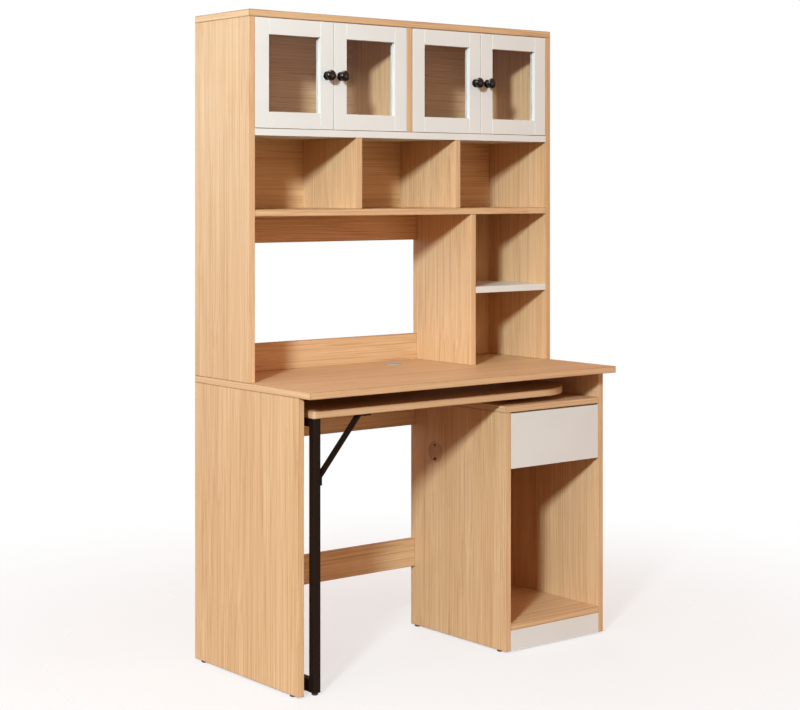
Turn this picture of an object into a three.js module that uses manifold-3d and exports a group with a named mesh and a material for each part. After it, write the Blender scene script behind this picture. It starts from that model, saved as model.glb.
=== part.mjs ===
// Computer desk with a hutch, a drawer pedestal and a swing-out second top.
// Millimetres, +Z up. The origin is on the floor, below the centre of the desk's footprint.
// The user sits at -Y and the rear edges of the panels lie in the plane y = REAR.
import * as THREE from "three";
import { mergeVertices } from "three/addons/utils/BufferGeometryUtils.js";
import Module from "manifold-3d";

const wasm = await Module();
wasm.setup();

// ---- Driving dimensions ----
const WIDTH = 1000;
const TOP_DEPTH = 498;
const PANEL_DEPTH = 450;
const DESK_HEIGHT = 719;
const TOTAL_HEIGHT = 1626;
const HUTCH_DEPTH = 245;
const BOARD = 17;
const BACK_BOARD = 5;
const FLOOR_GAP = 5;

// Hutch: heights of the undersides of its shelves, and its upright positions.
const CUBBY_SHELF_Z = 1122.5;
const CABINET_FLOOR_Z = 1320;
const COLUMN_SHELF_Z = 911.5;
const COLUMN_DIVIDER_FROM_LEFT = 710;
const HUTCH_RAIL_HEIGHT = 72;
const BACK_INSET = 5;

// Desk base: the pedestal stands at the right, and its rear edge and the rails are set forward.
const PEDESTAL_WIDTH = 349.5;
const REAR_INSET = 64;
const PEDESTAL_TOP_Z = 617;
const PEDESTAL_SHELF_Z = 57;
const REAR_RAIL_HEIGHT = 152.5;
const RAIL_NOTCH = { width: 60, height: 45 };
const STRETCHER_Z = 165;
const STRETCHER_HEIGHT = 75;
const CABLE_HOLE = { fromRear: 166.5, z: 485, bore: 50, outer: 57, inner: 44, lip: 1.5 };
const GROMMET = { fromLeft: 575, fromRear: 80, bore: 46, outer: 52, inner: 36, lip: 2 };

// Doors: inset, one-piece frame with a pane held in a rebate behind.
const DOOR_GAP = 1.5;
const MEETING_GAP = 2.5;
const FRAME_BAR = 40;
const PANE_SETBACK = 11;
const PANE_THICKNESS = 4;
const REBATE = 6;
const PANE_CLEARANCE = 0.5;
const GROOVE_WIDTH = 1;
const GROOVE_DEPTH = 0.75;
const KNOB_FROM_EDGE = 20;

// Drawer and its slides.
const DRAWER_BOTTOM_Z = 472;
const DRAWER_HEIGHT = 141.5;
const DRAWER_SIDE_GAP = 1.5;
const DRAWER_BOX_WIDTH = 290.5;
const DRAWER_BOX_HEIGHT = 100;
const DRAWER_BOX_LIFT = 12;
const DRAWER_BOX_LENGTH = 233;
const DRAWER_SIDE = 12;
const DRAWER_FLOOR = 5;
const SLIDE_Z = 535;
const SLIDE_HEIGHT = 35;
const SLIDE_DEPTH = 8.5;
const SLIDE_STEEL = 1.5;
const SLIDE_SETBACK = 3;
const RUNNER_INSET = 6;

// Swing top: half-round at its right end, turning about the centre of that half circle.
const SWING_LEFT_GAP = 28;
const SWING_DEPTH = 300;
const SWING_LENGTH = 890;
const SWING_CORNER = 8;
const SWING_Z = 650;
const TUBE = 20;
const BOTTOM_TUBE = 30;
const FRAME_GAP = 6;
const BRACE_STEEL = 4;
const BRACE_FOOT = { low: 492, bend: 512 };
const BRACE_RUN = 117;
const BRACE_TAB = 32;
const PIVOT_DIAMETER = 100;
const PIVOT_GAP = 0.5;
const PIVOT_SLEEVE = 12;
const PIVOT_POCKET = { depth: 3, clearance: 2 };
const PIVOT_CHAMFER = { width: 8, height: 4 };

const GLIDE_DIAMETER = 16;
const GLIDE_CHAMFER = 1.5;
const GLIDE_INSET = 32;
const GLIDE_INSET_PEDESTAL_REAR = 18;

// Play between a cable liner's sleeve and its bore, and how far a cutter runs past a face.
const LINER_PLAY = 1;
const OVERCUT = 1;
const WELD = 1e-3;

// Facets round a full turn, by size of the round.
const FACETS = { small: 24, knob: 32, turned: 36, hole: 40 };

// ---- Positions that follow from them ----
const LEFT = -WIDTH / 2;
const RIGHT = WIDTH / 2;
const REAR = TOP_DEPTH / 2;
const DESK_FRONT = REAR - PANEL_DEPTH;
const HUTCH_FRONT = REAR - HUTCH_DEPTH;
const TOP_Z = DESK_HEIGHT - BOARD;
const HUTCH_TOP_Z = TOTAL_HEIGHT - BOARD;
const INNER_LEFT = LEFT + BOARD;
const INNER_RIGHT = RIGHT - BOARD;
const BASE_REAR = REAR - REAR_INSET;
const PEDESTAL_LEFT = RIGHT - PEDESTAL_WIDTH;
const PEDESTAL_INNER = PEDESTAL_LEFT + BOARD;
const BACK_FACE = REAR - BACK_INSET - BACK_BOARD;

// ---- Materials: one per mesh ----
const OAK = { color: 0xd8ac78, roughness: 0.55, metalness: 0 };
const WHITE = { color: 0xe4dfd8, roughness: 0.5, metalness: 0 };
const GLASS = { color: 0xeef2f0, roughness: 0.05, metalness: 0, transparent: true, opacity: 0.3 };
const BLACK_GLOSS = { color: 0x0c0b0b, roughness: 0.18, metalness: 0.1 };
const BLACK_COAT = { color: 0x2b1e16, roughness: 0.45, metalness: 0.6 };
const ZINC = { color: 0xb9bbbd, roughness: 0.35, metalness: 1 };
const BIRCH = { color: 0xd9c4a0, roughness: 0.6, metalness: 0 };
const GREY_PLASTIC = { color: 0x9a9794, roughness: 0.5, metalness: 0 };
const TAN_PLASTIC = { color: 0xb98a5c, roughness: 0.5, metalness: 0 };
const GLIDE_PLASTIC = { color: 0x6b5a4a, roughness: 0.6, metalness: 0 };

// ---- Makers ----
// The nearest half millimetre, so that faces meant to touch meet exactly.
function toHalf(value) {
  return Math.round(2 * value) / 2;
}

function piece(parent, name, geometry, finish) {
  const mesh = new THREE.Mesh(geometry, new THREE.MeshStandardMaterial(finish));
  mesh.name = name;
  parent.add(mesh);
  return mesh;
}

// A rectangular board between two corners.
function boxGeometry(x, y, z) {
  const geometry = new THREE.BoxGeometry(x[1] - x[0], y[1] - y[0], z[1] - z[0]);
  return geometry.translate((x[0] + x[1]) / 2, (y[0] + y[1]) / 2, (z[0] + z[1]) / 2);
}

function board(parent, name, finish, x, y, z) {
  return piece(parent, name, boxGeometry(x, y, z), finish);
}

// A shape drawn in the plane across an axis, extruded along that axis from a start value.
// Across X the shape's u, v are y, z; across Y they are x, z; across Z they are x, y.
function plate(shape, axis, from, to, curveSegments = FACETS.small) {
  const depth = to - from;
  const geometry = new THREE.ExtrudeGeometry(shape, { depth, bevelEnabled: false, curveSegments });
  const ex = new THREE.Vector3(1, 0, 0);
  const ey = new THREE.Vector3(0, 1, 0);
  const ez = new THREE.Vector3(0, 0, 1);
  const turn = new THREE.Matrix4();
  if (axis === "x") turn.makeBasis(ey, ez, ex).setPosition(from, 0, 0);
  if (axis === "y") turn.makeBasis(ex, ez, ey.clone().negate()).setPosition(0, to, 0);
  if (axis === "z") turn.makeBasis(ex, ey, ez).setPosition(0, 0, from);
  return geometry.applyMatrix4(turn);
}

function rectangle(target, u, v) {
  target.moveTo(u[0], v[0]);
  target.lineTo(u[1], v[0]);
  target.lineTo(u[1], v[1]);
  target.lineTo(u[0], v[1]);
  target.closePath();
  return target;
}

function circle(target, u, v, diameter) {
  target.absarc(u, v, diameter / 2, 0, 2 * Math.PI, false);
  return target;
}

function solidOf(geometry) {
  const bare = new THREE.BufferGeometry();
  bare.setAttribute("position", geometry.getAttribute("position"));
  bare.setIndex(geometry.index);
  const merged = mergeVertices(bare, WELD);
  const vertProperties = merged.attributes.position.array;
  const triVerts = new Uint32Array(merged.index.array);
  return new wasm.Manifold(new wasm.Mesh({ numProp: 3, vertProperties, triVerts }));
}

function geometryOf(solid) {
  const mesh = solid.getMesh();
  const geometry = new THREE.BufferGeometry();
  geometry.setAttribute("position", new THREE.BufferAttribute(mesh.vertProperties, 3));
  geometry.setIndex(new THREE.BufferAttribute(mesh.triVerts, 1));
  geometry.computeVertexNormals();
  return geometry;
}

// A solid of revolution about the Z axis from (radius, z) pairs listed upwards on the outside.
function turned(profile, segments = FACETS.turned) {
  const points = profile.map(([r, z]) => new THREE.Vector2(r, z));
  return new THREE.LatheGeometry(points, segments).rotateX(Math.PI / 2);
}

// A constant-thickness strip that follows a bent line on one side, as an outline.
function bentStrip(line, thickness) {
  const points = line.map(([u, v]) => new THREE.Vector2(u, v));
  const offset = points.map((point, i) => {
    const before = points[Math.max(i - 1, 0)];
    const after = points[Math.min(i + 1, points.length - 1)];
    const into = (i ? point.clone().sub(before) : after.clone().sub(point)).normalize();
    const out = (i < points.length - 1 ? after.clone().sub(point) : into.clone()).normalize();
    const side = new THREE.Vector2(into.y + out.y, -into.x - out.x).normalize();
    const stretch = thickness / side.dot(new THREE.Vector2(into.y, -into.x));
    return point.clone().addScaledVector(side, stretch);
  });
  return new THREE.Shape([...offset, ...points.reverse()]);
}

// ---- Desk base ----
function makeDesk() {
  const desk = new THREE.Group();
  const legZ = [FLOOR_GAP, TOP_Z];
  const depth = [DESK_FRONT, REAR];
  board(desk, "left_leg_panel", OAK, [LEFT, INNER_LEFT], depth, legZ);
  board(desk, "right_leg_panel", OAK, [INNER_RIGHT, RIGHT], depth, legZ);

  const top = rectangle(new THREE.Shape(), [LEFT, RIGHT], [-REAR, REAR]);
  const grommetAt = [LEFT + GROMMET.fromLeft, REAR - GROMMET.fromRear];
  top.holes.push(circle(new THREE.Path(), ...grommetAt, GROMMET.bore));
  piece(desk, "desktop", plate(top, "z", TOP_Z, DESK_HEIGHT, FACETS.hole), OAK);
  const grommet = makeRing(GROMMET, BOARD);
  piece(desk, "desktop_grommet", grommet.translate(...grommetAt, DESK_HEIGHT), GREY_PLASTIC);

  const span = [INNER_LEFT, PEDESTAL_LEFT];
  const railY = [BASE_REAR - BOARD, BASE_REAR];
  piece(desk, "rear_rail", plate(railOutline(span, grommetAt[0]), "y", ...railY), OAK);
  board(desk, "lower_stretcher", OAK, span, railY, [STRETCHER_Z, STRETCHER_Z + STRETCHER_HEIGHT]);
  return desk;
}

// The rear rail's top edge is notched below the grommet so that cables can drop past it.
function railOutline(span, notchAt) {
  const low = TOP_Z - REAR_RAIL_HEIGHT;
  const notchZ = TOP_Z - RAIL_NOTCH.height;
  const notchX = [notchAt - RAIL_NOTCH.width / 2, notchAt + RAIL_NOTCH.width / 2];
  const outline = new THREE.Shape();
  outline.moveTo(span[0], low);
  outline.lineTo(span[1], low);
  outline.lineTo(span[1], TOP_Z);
  outline.lineTo(notchX[1], TOP_Z);
  outline.lineTo(notchX[1], notchZ);
  outline.lineTo(notchX[0], notchZ);
  outline.lineTo(notchX[0], TOP_Z);
  outline.lineTo(span[0], TOP_Z);
  return outline;
}

// A cable liner: a lip on the face at z = 0 and a sleeve reaching below it through a board.
function makeRing({ outer, bore, inner, lip }, length) {
  const sleeve = bore - LINER_PLAY;
  const profile = [
    [inner / 2, -length],
    [sleeve / 2, -length],
    [sleeve / 2, 0],
    [outer / 2, 0],
    [outer / 2, lip / 2],
    [outer / 2 - lip / 2, lip],
    [inner / 2, lip],
    [inner / 2, -length],
  ];
  return turned(profile, FACETS.hole);
}

// ---- Pedestal with the computer bay ----
function makePedestal() {
  const pedestal = new THREE.Group();
  const depth = [DESK_FRONT, BASE_REAR];
  const inner = [PEDESTAL_INNER, INNER_RIGHT];
  const holeY = REAR - CABLE_HOLE.fromRear;

  const side = rectangle(new THREE.Shape(), depth, [FLOOR_GAP, PEDESTAL_TOP_Z]);
  side.holes.push(circle(new THREE.Path(), holeY, CABLE_HOLE.z, CABLE_HOLE.bore));
  const sideGeometry = plate(side, "x", PEDESTAL_LEFT, PEDESTAL_INNER, FACETS.hole);
  piece(pedestal, "pedestal_left_panel", sideGeometry, OAK);
  const ring = makeRing(CABLE_HOLE, BOARD).rotateY(-Math.PI / 2);
  ring.translate(PEDESTAL_LEFT, holeY, CABLE_HOLE.z);
  piece(pedestal, "pedestal_cable_ring", ring, TAN_PLASTIC);

  const topX = [PEDESTAL_LEFT, INNER_RIGHT];
  board(pedestal, "pedestal_top", OAK, topX, depth, [PEDESTAL_TOP_Z, PEDESTAL_TOP_Z + BOARD]);
  const shelfTop = PEDESTAL_SHELF_Z + BOARD;
  board(pedestal, "pedestal_shelf", OAK, inner, depth, [PEDESTAL_SHELF_Z, shelfTop]);
  const kickY = [DESK_FRONT, DESK_FRONT + BOARD];
  board(pedestal, "kick_board", WHITE, inner, kickY, [FLOOR_GAP, PEDESTAL_SHELF_Z]);
  const backY = [BASE_REAR - BACK_INSET - BACK_BOARD, BASE_REAR - BACK_INSET];
  board(pedestal, "pedestal_back_panel", OAK, inner, backY, [shelfTop, PEDESTAL_TOP_Z]);
  return pedestal;
}

// ---- Drawer on two side slides ----
function makeDrawer() {
  const group = new THREE.Group();
  const frontX = [PEDESTAL_INNER + DRAWER_SIDE_GAP, INNER_RIGHT - DRAWER_SIDE_GAP];
  const frontY = [DESK_FRONT, DESK_FRONT + BOARD];
  const frontZ = [DRAWER_BOTTOM_Z, DRAWER_BOTTOM_Z + DRAWER_HEIGHT];
  board(group, "drawer_front", WHITE, frontX, frontY, frontZ);

  const middle = (PEDESTAL_INNER + INNER_RIGHT) / 2;
  const half = DRAWER_BOX_WIDTH / 2;
  const y = [frontY[1], frontY[1] + DRAWER_BOX_LENGTH];
  const z0 = DRAWER_BOTTOM_Z + DRAWER_BOX_LIFT;
  const z = [z0, z0 + DRAWER_BOX_HEIGHT];
  const innerX = [middle - half + DRAWER_SIDE, middle + half - DRAWER_SIDE];
  board(group, "drawer_left_side", BIRCH, [middle - half, innerX[0]], y, z);
  board(group, "drawer_right_side", BIRCH, [innerX[1], middle + half], y, z);
  board(group, "drawer_back", BIRCH, innerX, [y[1] - DRAWER_SIDE, y[1]], z);
  const floorY = [y[0], y[1] - DRAWER_SIDE];
  board(group, "drawer_floor", BIRCH, innerX, floorY, [z0, z0 + DRAWER_FLOOR]);

  const slideY = [DESK_FRONT + BOARD + SLIDE_SETBACK, y[1]];
  for (const [hand, wall, toDrawer] of [["left", PEDESTAL_INNER, 1], ["right", INNER_RIGHT, -1]]) {
    const lipX = wall + toDrawer * SLIDE_DEPTH;
    const web = wall + toDrawer * SLIDE_STEEL;
    const low = SLIDE_Z - SLIDE_HEIGHT / 2;
    const high = SLIDE_Z + SLIDE_HEIGHT / 2;
    const channel = new THREE.Shape();
    channel.moveTo(wall, low);
    channel.lineTo(lipX, low);
    channel.lineTo(lipX, low + SLIDE_STEEL);
    channel.lineTo(web, low + SLIDE_STEEL);
    channel.lineTo(web, high - SLIDE_STEEL);
    channel.lineTo(lipX, high - SLIDE_STEEL);
    channel.lineTo(lipX, high);
    channel.lineTo(wall, high);
    piece(group, `${hand}_cabinet_slide`, plate(channel, "y", ...slideY), ZINC);
    const runnerX = [web + toDrawer * SLIDE_STEEL, middle - toDrawer * half];
    runnerX.sort((a, b) => a - b);
    const runnerZ = [low + RUNNER_INSET, high - RUNNER_INSET];
    board(group, `${hand}_drawer_slide`, ZINC, runnerX, slideY, runnerZ);
  }
  return group;
}

// ---- Hutch: sides, shelves, dividers, rails and backs ----
function makeHutch() {
  const hutch = new THREE.Group();
  const depth = [HUTCH_FRONT, REAR];
  const toBack = [HUTCH_FRONT, BACK_FACE];
  const inner = [INNER_LEFT, INNER_RIGHT];
  board(hutch, "hutch_left_side", OAK, [LEFT, INNER_LEFT], depth, [DESK_HEIGHT, HUTCH_TOP_Z]);
  board(hutch, "hutch_right_side", OAK, [INNER_RIGHT, RIGHT], depth, [DESK_HEIGHT, HUTCH_TOP_Z]);
  board(hutch, "hutch_top", OAK, [LEFT, RIGHT], depth, [HUTCH_TOP_Z, TOTAL_HEIGHT]);

  const cubbyTop = CUBBY_SHELF_Z + BOARD;
  const cabinetTop = CABINET_FLOOR_Z + BOARD;
  board(hutch, "cubby_shelf", OAK, inner, depth, [CUBBY_SHELF_Z, cubbyTop]);
  board(hutch, "cabinet_floor", WHITE, inner, toBack, [CABINET_FLOOR_Z, cabinetTop]);
  const middle = [-BOARD / 2, BOARD / 2];
  board(hutch, "door_bay_divider", OAK, middle, toBack, [cabinetTop, HUTCH_TOP_Z]);

  const bay = toHalf((WIDTH - 4 * BOARD) / 3);
  const cubbyZ = [cubbyTop, CABINET_FLOOR_Z];
  const first = INNER_LEFT + bay;
  const second = INNER_RIGHT - bay - BOARD;
  board(hutch, "cubby_divider_left", OAK, [first, first + BOARD], toBack, cubbyZ);
  board(hutch, "cubby_divider_right", OAK, [second, second + BOARD], toBack, cubbyZ);

  const columnLeft = LEFT + COLUMN_DIVIDER_FROM_LEFT;
  const columnX = [columnLeft + BOARD, INNER_RIGHT];
  const columnZ = [DESK_HEIGHT, CUBBY_SHELF_Z];
  board(hutch, "column_divider", OAK, [columnLeft, columnX[0]], depth, columnZ);
  const shelfZ = [COLUMN_SHELF_Z, COLUMN_SHELF_Z + BOARD];
  board(hutch, "column_shelf", WHITE, columnX, toBack, shelfZ);

  const backY = [BACK_FACE, BACK_FACE + BACK_BOARD];
  board(hutch, "hutch_back_panel", OAK, inner, backY, [cubbyTop, HUTCH_TOP_Z]);
  board(hutch, "column_back_panel", OAK, columnX, backY, columnZ);
  const railX = [INNER_LEFT, columnLeft];
  const railY = [REAR - BOARD, REAR];
  const upperZ = [CUBBY_SHELF_Z - HUTCH_RAIL_HEIGHT, CUBBY_SHELF_Z];
  const lowerZ = [DESK_HEIGHT, DESK_HEIGHT + HUTCH_RAIL_HEIGHT];
  board(hutch, "upper_back_rail", OAK, railX, railY, upperZ);
  board(hutch, "lower_back_rail", OAK, railX, railY, lowerZ);
  return hutch;
}

// ---- Glass doors ----
const KNOB_PROFILE = [
  [0, -27],
  [4, -26.75],
  [8, -25.75],
  [11.5, -23.75],
  [13.75, -20.5],
  [14, -18],
  [13, -15.5],
  [10, -13.5],
  [6.5, -12],
  [5, -10],
  [4.75, -6],
  [5.5, -4],
  [8, -3],
  [10.5, -2.5],
  [11, -1.5],
  [11, 0],
  [0, 0],
];

function makeDoors() {
  const doors = new THREE.Group();
  const bayWidth = (WIDTH - 3 * BOARD) / 2;
  const width = (bayWidth - 2 * DOOR_GAP - MEETING_GAP) / 2;
  const z = [CABINET_FLOOR_Z + BOARD + DOOR_GAP, HUTCH_TOP_Z - DOOR_GAP];
  const hingeEdges = [
    [INNER_LEFT + DOOR_GAP, 1],
    [-BOARD / 2 - DOOR_GAP, -1],
    [BOARD / 2 + DOOR_GAP, 1],
    [INNER_RIGHT - DOOR_GAP, -1],
  ];
  hingeEdges.forEach(([hinge, toFree], i) => {
    const free = hinge + toFree * width;
    const x = [Math.min(hinge, free), Math.max(hinge, free)];
    piece(doors, `door_${i + 1}_frame`, doorFrame(x, z), WHITE);
    const reach = REBATE - PANE_CLEARANCE;
    const paneX = [x[0] + FRAME_BAR - reach, x[1] - FRAME_BAR + reach];
    const paneZ = [z[0] + FRAME_BAR - reach, z[1] - FRAME_BAR + reach];
    const paneY = HUTCH_FRONT + PANE_SETBACK;
    board(doors, `door_${i + 1}_glass`, GLASS, paneX, [paneY, paneY + PANE_THICKNESS], paneZ);
    const points = KNOB_PROFILE.map(([r, y]) => new THREE.Vector2(r, y));
    const round = new THREE.LatheGeometry(points, FACETS.knob);
    const knob = piece(doors, `door_${i + 1}_knob`, round, BLACK_GLOSS);
    knob.position.set(free - toFree * KNOB_FROM_EDGE, HUTCH_FRONT, (z[0] + z[1]) / 2);
  });
  return doors;
}

// A one-piece frame: the opening, a rebate for the pane behind, and grooves down the stile joints.
function doorFrame(x, z) {
  const y = [HUTCH_FRONT, HUTCH_FRONT + BOARD];
  const outline = rectangle(new THREE.Shape(), x, z);
  const openX = [x[0] + FRAME_BAR, x[1] - FRAME_BAR];
  const openZ = [z[0] + FRAME_BAR, z[1] - FRAME_BAR];
  outline.holes.push(rectangle(new THREE.Path(), openX, openZ));
  let frame = solidOf(plate(outline, "y", ...y));
  const rebateX = [openX[0] - REBATE, openX[1] + REBATE];
  const rebateZ = [openZ[0] - REBATE, openZ[1] + REBATE];
  const rebateY = [HUTCH_FRONT + PANE_SETBACK, y[1] + OVERCUT];
  frame = frame.subtract(solidOf(boxGeometry(rebateX, rebateY, rebateZ)));
  const grooveY = [y[0] - OVERCUT, y[0] + GROOVE_DEPTH];
  const grooveRuns = [
    [z[0] - OVERCUT, openZ[0] + OVERCUT],
    [openZ[1] - OVERCUT, z[1] + OVERCUT],
  ];
  for (const joint of [openX[0] - GROOVE_WIDTH, openX[1]]) {
    for (const run of grooveRuns) {
      const cut = boxGeometry([joint, joint + GROOVE_WIDTH], grooveY, run);
      frame = frame.subtract(solidOf(cut));
    }
  }
  return geometryOf(frame);
}

// ---- Swing top on its leg frame and pivot ----
function makeSwingTop() {
  const swing = new THREE.Group();
  const left = INNER_LEFT + SWING_LEFT_GAP;
  const front = DESK_FRONT;
  const rear = front + SWING_DEPTH;
  const radius = SWING_DEPTH / 2;
  const pivotX = left + SWING_LENGTH - radius;
  const pivotY = front + radius;
  const corner = SWING_CORNER;

  const top = new THREE.Shape();
  top.moveTo(left + corner, front);
  top.lineTo(pivotX, front);
  top.absarc(pivotX, pivotY, radius, -Math.PI / 2, Math.PI / 2, false);
  top.lineTo(left + corner, rear);
  top.absarc(left + corner, rear - corner, corner, Math.PI / 2, Math.PI, false);
  top.lineTo(left, front + corner);
  top.absarc(left + corner, front + corner, corner, Math.PI, 1.5 * Math.PI, false);
  piece(swing, "swing_top_board", plate(top, "z", SWING_Z, SWING_Z + BOARD, FACETS.knob), OAK);

  const loop = rectangle(new THREE.Shape(), [front, rear], [FRAME_GAP, SWING_Z]);
  const holeY = [front + TUBE, rear - TUBE];
  const holeZ = [FRAME_GAP + BOTTOM_TUBE, SWING_Z - TUBE];
  loop.holes.push(rectangle(new THREE.Path(), holeY, holeZ));
  piece(swing, "leg_frame", plate(loop, "x", left, left + TUBE), BLACK_COAT);

  // The brace is a flat bar bent at both ends, screwed to the post's side and under the board.
  const post = left + TUBE;
  const brace = bentStrip(
    [
      [post, BRACE_FOOT.low],
      [post, BRACE_FOOT.bend],
      [post + BRACE_RUN, SWING_Z],
      [post + BRACE_RUN + BRACE_TAB, SWING_Z],
    ],
    BRACE_STEEL,
  );
  piece(swing, "frame_brace", plate(brace, "y", front, front + TUBE), BLACK_COAT);

  const pivotLow = PEDESTAL_TOP_Z + BOARD;
  const middle = (pivotLow + SWING_Z) / 2;
  const disc = PIVOT_DIAMETER / 2;
  const pin = PIVOT_SLEEVE / 2;
  const rim = disc - PIVOT_CHAMFER.width;
  const pocketZ = middle - PIVOT_POCKET.depth;
  const gap = PIVOT_GAP / 2;
  const base = turned([
    [0, pivotLow],
    [disc, pivotLow],
    [disc, middle - PIVOT_CHAMFER.height],
    [rim, middle - gap],
    [pin + PIVOT_POCKET.clearance, middle - gap],
    [pin + PIVOT_POCKET.clearance, pocketZ],
    [0, pocketZ],
  ]);
  const cap = turned([
    [0, pocketZ + PIVOT_GAP],
    [pin, pocketZ + PIVOT_GAP],
    [pin, middle + gap],
    [rim, middle + gap],
    [disc, middle + PIVOT_CHAMFER.height],
    [disc, SWING_Z],
    [0, SWING_Z],
  ]);
  piece(swing, "pivot_base", base.translate(pivotX, pivotY, 0), BLACK_COAT);
  piece(swing, "pivot_cap", cap.translate(pivotX, pivotY, 0), BLACK_COAT);
  return swing;
}

// ---- Nail-on glides under every upright that reaches the floor ----
function makeGlides() {
  const glides = new THREE.Group();
  const radius = GLIDE_DIAMETER / 2;
  const front = DESK_FRONT + GLIDE_INSET;
  const rear = REAR - GLIDE_INSET;
  const post = INNER_LEFT + SWING_LEFT_GAP + TUBE / 2;
  const places = [
    ["left_leg_front_glide", LEFT + BOARD / 2, front, FLOOR_GAP],
    ["left_leg_rear_glide", LEFT + BOARD / 2, rear, FLOOR_GAP],
    ["right_leg_front_glide", RIGHT - BOARD / 2, front, FLOOR_GAP],
    ["right_leg_rear_glide", RIGHT - BOARD / 2, rear, FLOOR_GAP],
    ["pedestal_front_glide", PEDESTAL_LEFT + BOARD / 2, front, FLOOR_GAP],
    ["pedestal_rear_glide", PEDESTAL_LEFT + BOARD / 2, BASE_REAR - GLIDE_INSET_PEDESTAL_REAR, FLOOR_GAP],
    ["frame_front_glide", post, DESK_FRONT + TUBE / 2, FRAME_GAP],
    ["frame_rear_glide", post, DESK_FRONT + SWING_DEPTH - TUBE / 2, FRAME_GAP],
  ];
  for (const [name, x, y, height] of places) {
    const profile = [
      [0, 0],
      [radius - GLIDE_CHAMFER, 0],
      [radius, GLIDE_CHAMFER],
      [radius, height],
      [0, height],
    ];
    piece(glides, name, turned(profile, FACETS.small), GLIDE_PLASTIC).position.set(x, y, 0);
  }
  return glides;
}

const object = new THREE.Group();
object.add(makeDesk(), makePedestal(), makeDrawer(), makeHutch());
object.add(makeDoors(), makeSwingTop(), makeGlides());

export default object;
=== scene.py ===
"""Looks of the computer desk: materials, small fittings, light and camera round the fixed CAD frame."""

import math

import bmesh
import bpy
from mathutils import Matrix, Vector


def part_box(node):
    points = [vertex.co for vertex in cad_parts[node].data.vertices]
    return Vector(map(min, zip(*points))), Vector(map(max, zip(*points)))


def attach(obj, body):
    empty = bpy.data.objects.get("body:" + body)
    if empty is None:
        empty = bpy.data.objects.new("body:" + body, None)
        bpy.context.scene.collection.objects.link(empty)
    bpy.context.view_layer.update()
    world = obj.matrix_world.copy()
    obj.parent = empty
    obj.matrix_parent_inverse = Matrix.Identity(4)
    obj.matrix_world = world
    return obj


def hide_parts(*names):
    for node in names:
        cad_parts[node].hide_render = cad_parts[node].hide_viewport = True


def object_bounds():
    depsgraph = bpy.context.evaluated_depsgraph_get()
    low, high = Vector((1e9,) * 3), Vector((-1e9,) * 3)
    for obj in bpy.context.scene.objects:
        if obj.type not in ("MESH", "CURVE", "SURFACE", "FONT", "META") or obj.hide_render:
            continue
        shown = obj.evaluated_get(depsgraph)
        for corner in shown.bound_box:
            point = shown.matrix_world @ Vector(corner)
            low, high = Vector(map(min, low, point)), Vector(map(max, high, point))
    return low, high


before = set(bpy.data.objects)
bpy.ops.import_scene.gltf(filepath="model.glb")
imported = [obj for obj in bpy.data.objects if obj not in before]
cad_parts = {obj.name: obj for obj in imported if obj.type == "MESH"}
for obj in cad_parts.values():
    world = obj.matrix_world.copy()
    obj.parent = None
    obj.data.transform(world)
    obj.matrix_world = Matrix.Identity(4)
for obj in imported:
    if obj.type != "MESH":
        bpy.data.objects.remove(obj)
CAD_LOW, CAD_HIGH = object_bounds()
MIDDLE = (CAD_LOW + CAD_HIGH) / 2
MM = 0.001

# ---- Camera: it looks level, and the shift raises or lowers what the picture takes in ----
CAMERA_AT = (-2.8794, -3.5576, 1.1843)
CAMERA_YAW = -38.65
CAMERA_LENS = 79.42
CAMERA_SHIFT = (-0.0006, -0.2048)
SENSOR_WIDTH = 36.0
FAR_CLIP = 100.0

# ---- Light ----
KEY_AT = (-4.43, -3.33, 2.975)
KEY_SIZE = 0.60
KEY_POWER = 380.0
FILL_AT = (-3.4, -0.8, 3.0)
FILL_POWER = 27.0
FRONT_AT = (2.0, -4.0, 1.1)
FRONT_POWER = 15.0
BACK_AT = (2.8, 4.0, 1.0)
BACK_POWER = 85.0
FILL_SIZE = 2.0
# The world is brighter from above. Between these two heights of a direction its strength changes over.
WORLD_ABOVE = 0.56
WORLD_BELOW = 0.14
WORLD_DARK_UNTIL = -0.35
WORLD_BRIGHT_FROM = 0.10
KEY_COLOUR = (0.78, 0.92, 1.0)
PURE_WHITE = (1.0, 1.0, 1.0)
FILL_COLOUR = PURE_WHITE
BACK_COLOUR = (0.80, 0.93, 1.0)
FRONT_COLOUR = (1.0, 0.68, 0.52)
AMBIENT_COLOUR = (1.0, 0.56, 0.38)

# The floor is solid near the desk and thins out between these two radii, as a share that is see-through.
FLOOR_RADIUS = 4.0
FLOOR_FADE = (0.5, 2.1, 0.66, 1.0)
FLOOR_PALE = (0.86, 0.855, 0.85)
FLOOR_GREY = (0.83, 0.825, 0.82)
SHELL_RADIUS = 32.0

# A card above, seen only in reflections, gives the knobs their top glint.
CARD_AT = (-0.3, 0.0, 3.2)
CARD_RADIUS = 0.55
CARD_STRENGTH = 16.0
# A wide, cool card behind the left side gives the hutch's side its pale sheen.
SHEEN_AT = (-2.4, 3.05, 1.75)
SHEEN_RADIUS = 1.15
SHEEN_STRENGTH = 4.0
SHEEN_COLOUR = (0.45, 0.85, 1.0)

# ---- Edges ----
BOARD_EDGE = 0.6 * MM
PLASTIC_EDGE = 0.4 * MM
FINE_EDGE = 0.3 * MM
STEEL_EDGE = 1.6 * MM
GLASS_EDGE = 0.5 * MM
THIN_STEEL_EDGE = 0.4 * MM

# ---- Boards and the way that their grain runs ----
UPRIGHT = (
    "left_leg_panel", "right_leg_panel", "pedestal_left_panel", "pedestal_back_panel",
    "hutch_left_side", "hutch_right_side", "door_bay_divider", "cubby_divider_left",
    "cubby_divider_right", "column_divider", "column_back_panel",
)
LEVEL = (
    "desktop", "rear_rail", "lower_stretcher", "pedestal_top", "pedestal_shelf", "hutch_top",
    "cubby_shelf", "hutch_back_panel", "upper_back_rail", "lower_back_rail", "swing_top_board",
)
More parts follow.
